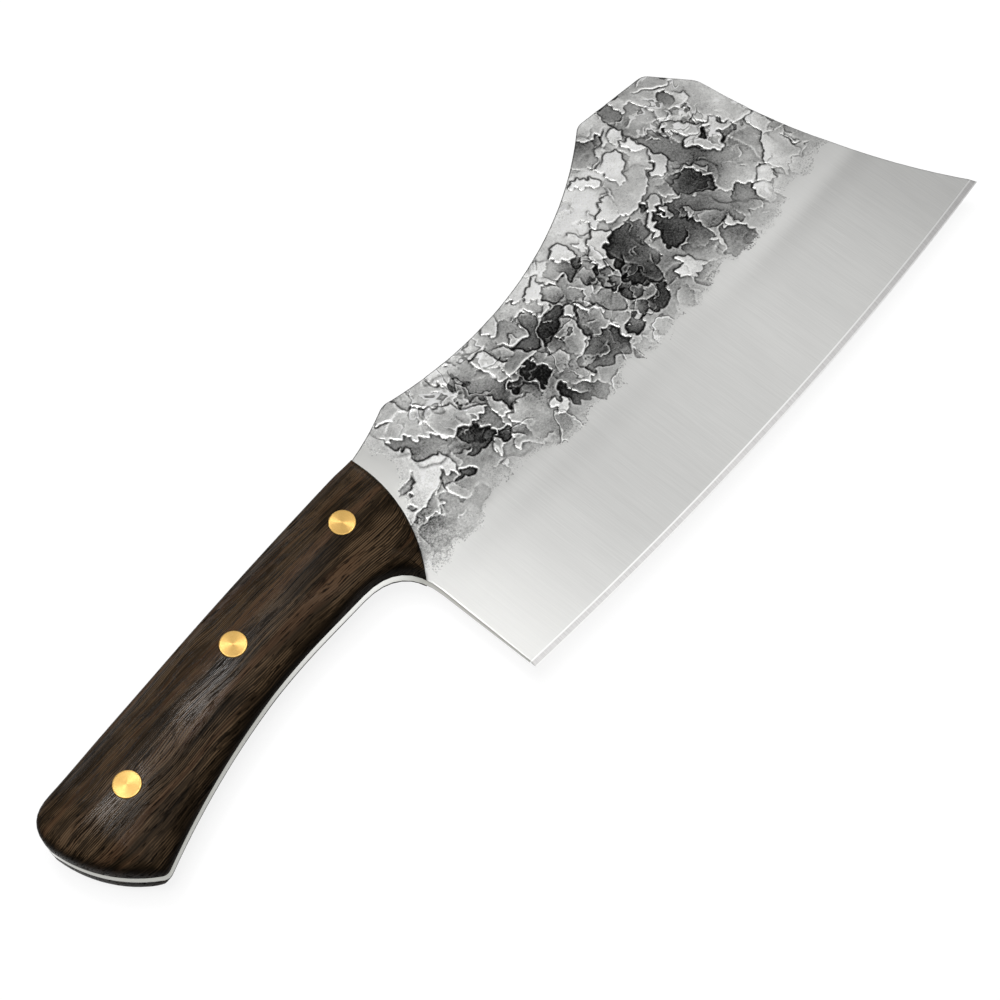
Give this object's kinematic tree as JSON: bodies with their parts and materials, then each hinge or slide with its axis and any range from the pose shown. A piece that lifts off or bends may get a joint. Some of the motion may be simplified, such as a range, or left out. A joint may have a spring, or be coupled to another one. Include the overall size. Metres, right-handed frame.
{
  "type": "butcher knife",
  "caption": "Broad forged butcher knife with a scooped spine, ground edge and full tang between riveted dark wood handle scales; chops and portions meat.",
  "frame": {"origin": "middle of the knife's footprint, on the surface that it lies on", "axes": "+X along the line from heel to tip, towards the tip; +Y from the cutting edge to the spine; +Z square to the blade's side, up"},
  "size_m": [0.3056, 0.102, 0.0213],
  "materials": {
    "blade_steel": "satin ground below, dark hammer-forged scale above, bright sharpened bevel",
    "handle_wood": "oiled dark wenge with fine open grain",
    "rivet_brass": "polished"
  },
  "bodies": {
    "root": {"blade": "blade_steel", "right_scale": "handle_wood", "left_scale": "handle_wood", "front_rivet_sleeve": "rivet_brass", "front_rivet_pin": "rivet_brass", "middle_rivet_sleeve": "rivet_brass", "middle_rivet_pin": "rivet_brass", "rear_rivet_sleeve": "rivet_brass", "rear_rivet_pin": "rivet_brass"}
  },
  "joints": []
}
